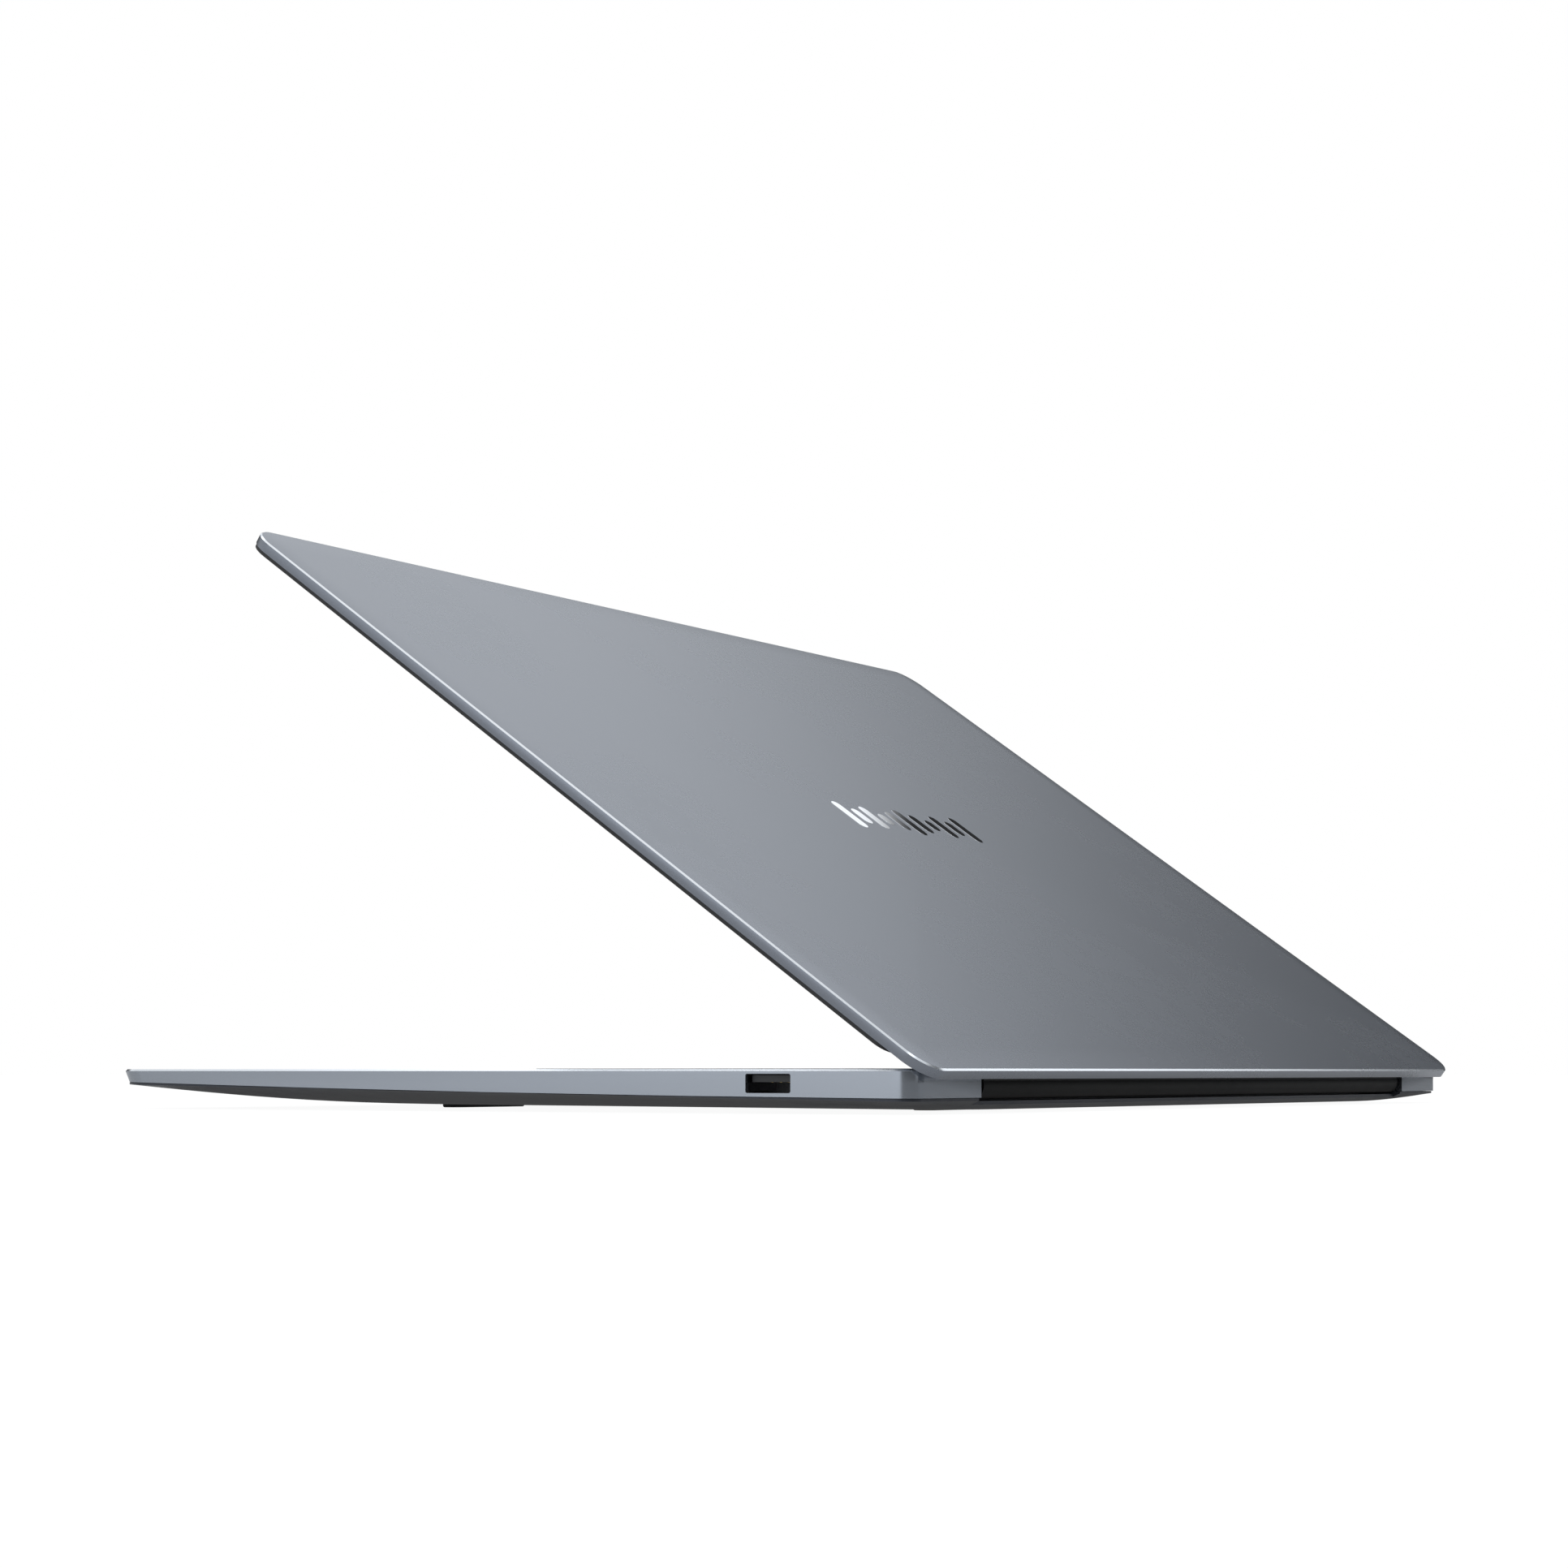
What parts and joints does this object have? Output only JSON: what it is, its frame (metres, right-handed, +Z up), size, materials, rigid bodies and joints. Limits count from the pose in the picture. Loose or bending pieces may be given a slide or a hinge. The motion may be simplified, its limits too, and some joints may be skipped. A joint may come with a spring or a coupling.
{
  "type": "laptop computer",
  "caption": "Slim clamshell notebook, part open: grey metal lid and deck with bright bevelled edges, dark curved underside, drop hinge, keyboard, touchpad and side sockets.",
  "frame": {"origin": "centre of the bounding box's underside, on the table plane, in the part-open rest pose", "axes": "+Z up; +X to the right of a person using it; +Y to the rear, towards the hinge"},
  "size_m": [0.3568, 0.2536, 0.1533],
  "materials": {
    "aluminium_grey": "bead-blasted anodised grey",
    "aluminium_mirror": "polished inlay",
    "cover_dark": "dark satin painted underside",
    "plastic_black": "fine matt black",
    "keycap": "soft matt keycaps",
    "rubber_black": "matt rubber",
    "screen": "dark screen surface",
    "panel_grey": "reflector backing",
    "steel": "bright steel",
    "board_green": "solder mask",
    "chip_black": "moulded chip",
    "copper": "bare copper",
    "battery_wrap": "wrapped cells",
    "touch_surface": "satin glass pad in the deck's colour"
  },
  "bodies": {
    "base": {"top_case": "aluminium_grey", "bottom_cover": "cover_dark", "bottom_screws": "steel", "rear_foot": "rubber_black", "front_feet": "rubber_black", "usb_a_port_right": "steel", "usb_a_port_left": "steel", "usb_a_tongue_right": "plastic_black", "usb_a_tongue_left": "plastic_black", "usb_c_ports": "steel", "usb_c_tongues": "plastic_black", "hdmi_port": "steel", "hdmi_tongue": "plastic_black", "audio_jack": "plastic_black", "keyboard_plate": "plastic_black", "touchpad_frame": "steel", "motherboard": "board_green", "processor": "chip_black", "heat_spreader": "copper", "heat_pipes": "copper", "fin_stacks": "copper", "fan_housing_left": "plastic_black", "fan_housing_right": "plastic_black", "solid_state_drive": "board_green", "wireless_card": "board_green", "memory_chips": "chip_black", "foam_pads": "rubber_black", "battery_cells": "battery_wrap", "battery_frame": "plastic_black", "speaker_left": "plastic_black", "speaker_right": "plastic_black", "hinge_pin_left": "steel", "hinge_pin_right": "steel", "hinge_bracket_left": "steel", "hinge_bracket_right": "steel"},
    "lid": {"lid_shell": "aluminium_grey", "lid_emblem": "aluminium_mirror", "lid_gasket": "rubber_black", "screen_bezel": "plastic_black", "display_panel": "panel_grey", "screen_glass": "screen", "camera_module": "chip_black", "lid_antennas": "copper", "lid_magnets": "steel", "hinge_cover": "plastic_black", "hinge_arm_left": "steel", "hinge_arm_right": "steel"},
    "touchpad": {"touchpad": "touch_surface"},
    "power_button": {"power_button": "aluminium_grey"},
    "fan_left": {"fan_impeller_left": "plastic_black"},
    "fan_right": {"fan_impeller_right": "plastic_black"},
    "function_keys": {"function_keys": "keycap"},
    "number_row_keys": {"number_row_keys": "keycap"},
    "upper_row_keys": {"upper_row_keys": "keycap"},
    "home_row_keys": {"home_row_keys": "keycap"},
    "lower_row_keys": {"lower_row_keys": "keycap"},
    "modifier_keys": {"modifier_keys": "keycap"},
    "space_bar": {"space_bar": "keycap"},
    "arrow_keys": {"arrow_keys": "keycap"}
  },
  "joints": [
    {"name": "lid_hinge", "type": "hinge", "parent": "base", "child": "lid", "pos_m": [0, 0.11831, 0.0067], "axis": [-1, 0, 0], "range_deg": [-34.98, 90]},
    {"name": "function_keys_press", "type": "slide", "parent": "base", "child": "function_keys", "axis": [0, 0, -1], "range_m": [0, 0.0013], "stiffness_N_per_m": 2100},
    {"name": "number_row_keys_press", "type": "slide", "parent": "base", "child": "number_row_keys", "axis": [0, 0, -1], "range_m": [0, 0.0013], "stiffness_N_per_m": 2100},
    {"name": "upper_row_keys_press", "type": "slide", "parent": "base", "child": "upper_row_keys", "axis": [0, 0, -1], "range_m": [0, 0.0013], "stiffness_N_per_m": 2100},
    {"name": "home_row_keys_press", "type": "slide", "parent": "base", "child": "home_row_keys", "axis": [0, 0, -1], "range_m": [0, 0.0013], "stiffness_N_per_m": 1950},
    {"name": "lower_row_keys_press", "type": "slide", "parent": "base", "child": "lower_row_keys", "axis": [0, 0, -1], "range_m": [0, 0.0013], "stiffness_N_per_m": 1800},
    {"name": "modifier_keys_press", "type": "slide", "parent": "base", "child": "modifier_keys", "axis": [0, 0, -1], "range_m": [0, 0.0013], "stiffness_N_per_m": 900},
    {"name": "space_bar_press", "type": "slide", "parent": "base", "child": "space_bar", "axis": [0, 0, -1], "range_m": [0, 0.0013], "stiffness_N_per_m": 400},
    {"name": "arrow_keys_press", "type": "slide", "parent": "base", "child": "arrow_keys", "axis": [0, 0, -1], "range_m": [0, 0.0013], "stiffness_N_per_m": 600},
    {"name": "power_button_press", "type": "slide", "parent": "base", "child": "power_button", "axis": [0, 0, -1], "range_m": [0, 0.0006], "stiffness_N_per_m": 1500},
    {"name": "touchpad_click", "type": "hinge", "parent": "base", "child": "touchpad", "pos_m": [0, -0.02979, 0.00995], "axis": [1, 0, 0], "range_deg": [0, 0.38], "stiffness_Nm_per_rad": 20},
    {"name": "fan_left_spin", "type": "hinge", "parent": "base", "child": "fan_left", "pos_m": [-0.119, 0.07621, 0.0047], "axis": [0, 0, 1], "continuous": true},
    {"name": "fan_right_spin", "type": "hinge", "parent": "base", "child": "fan_right", "pos_m": [0.119, 0.07621, 0.0047], "axis": [0, 0, 1], "continuous": true}
  ]
}
